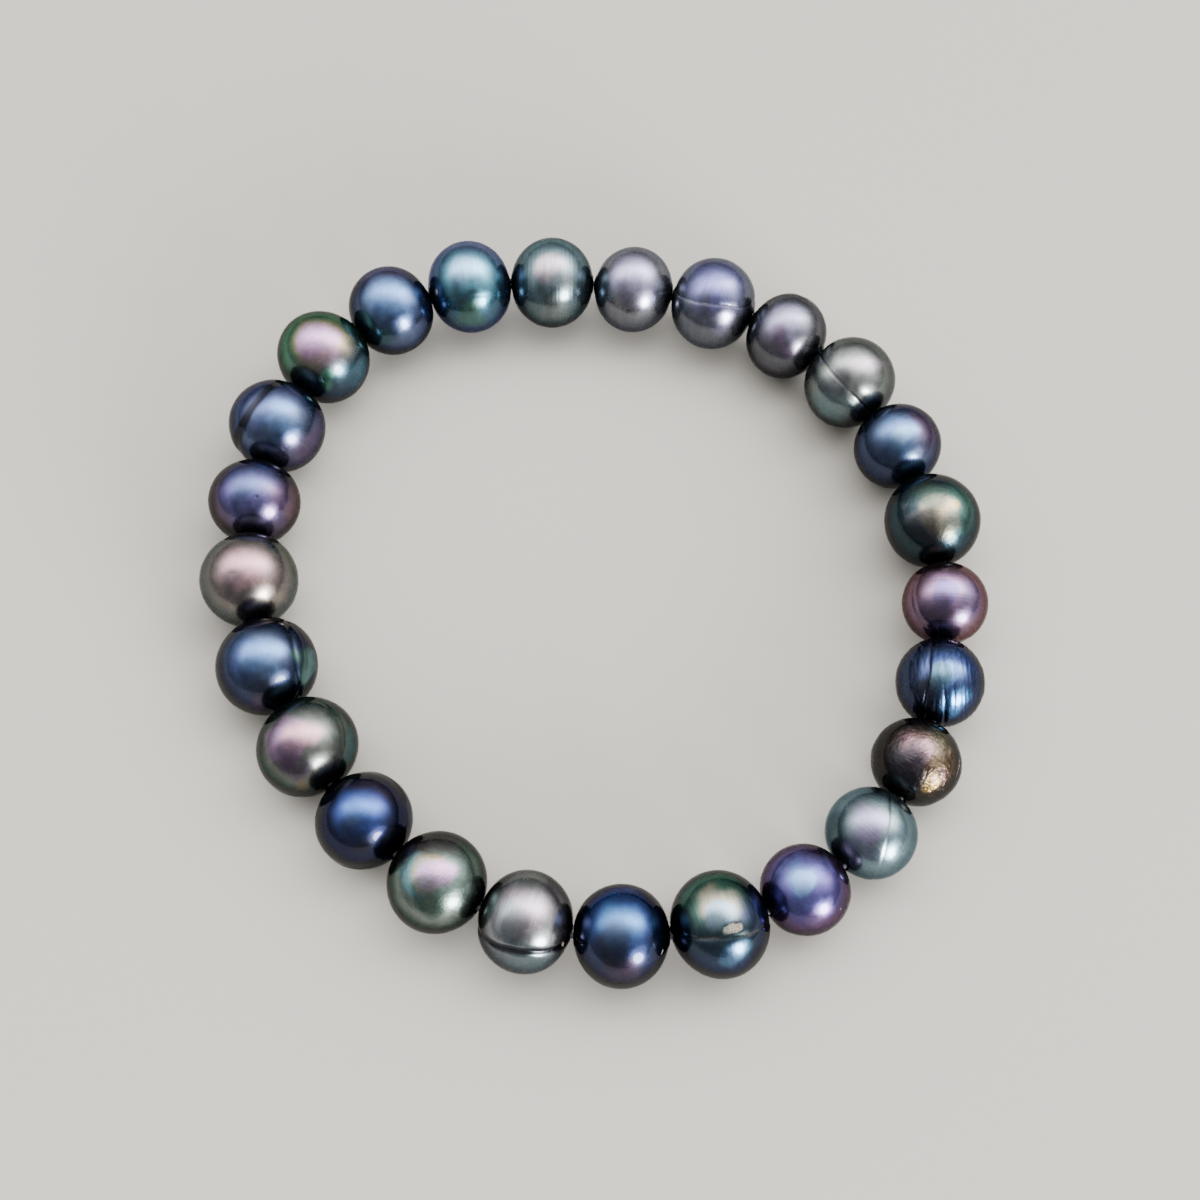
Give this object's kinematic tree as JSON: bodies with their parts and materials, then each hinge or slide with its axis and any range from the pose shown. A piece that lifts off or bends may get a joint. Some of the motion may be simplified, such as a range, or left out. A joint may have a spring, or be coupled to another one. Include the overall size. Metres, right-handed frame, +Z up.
{
  "type": "pearl bracelet",
  "caption": "Stretch bracelet of dark peacock-dyed potato-round freshwater pearls strung touching on an elastic cord, lying as a flat closed loop.",
  "frame": {"origin": "on the surface that the bracelet lies on, under the middle of its outline", "axes": "+Z up from that surface, +Y towards the far side in the picture, +X towards the picture's right"},
  "size_m": [0.067, 0.069, 0.0086],
  "materials": {
    "nacre_blue": "polished dyed nacre, navy to steel blue with purple and teal overtones",
    "nacre_violet": "polished dyed nacre, violet to mauve with rose and blue overtones",
    "nacre_green": "polished dyed nacre, dark green with pink and gold overtones",
    "nacre_silver": "polished dyed nacre, silver grey with lilac and green overtones",
    "nacre_bronze": "polished dyed nacre, bronze brown with rose and olive overtones, wrinkled",
    "elastic": "smooth clear-dark stretch cord, half gloss"
  },
  "bodies": {
    "root": {"pearl_01": "nacre_blue", "pearl_02": "nacre_silver", "pearl_03": "nacre_silver", "pearl_04": "nacre_violet", "pearl_05": "nacre_silver", "pearl_06": "nacre_silver", "pearl_07": "nacre_blue", "pearl_08": "nacre_green", "pearl_09": "nacre_violet", "pearl_10": "nacre_blue", "pearl_11": "nacre_bronze", "pearl_12": "nacre_silver", "pearl_13": "nacre_violet", "pearl_14": "nacre_green", "pearl_15": "nacre_blue", "pearl_16": "nacre_silver", "pearl_17": "nacre_green", "pearl_18": "nacre_blue", "pearl_19": "nacre_green", "pearl_20": "nacre_blue", "pearl_21": "nacre_silver", "pearl_22": "nacre_violet", "pearl_23": "nacre_blue", "pearl_24": "nacre_green", "pearl_25": "nacre_blue", "elastic_cord": "elastic"}
  },
  "joints": []
}
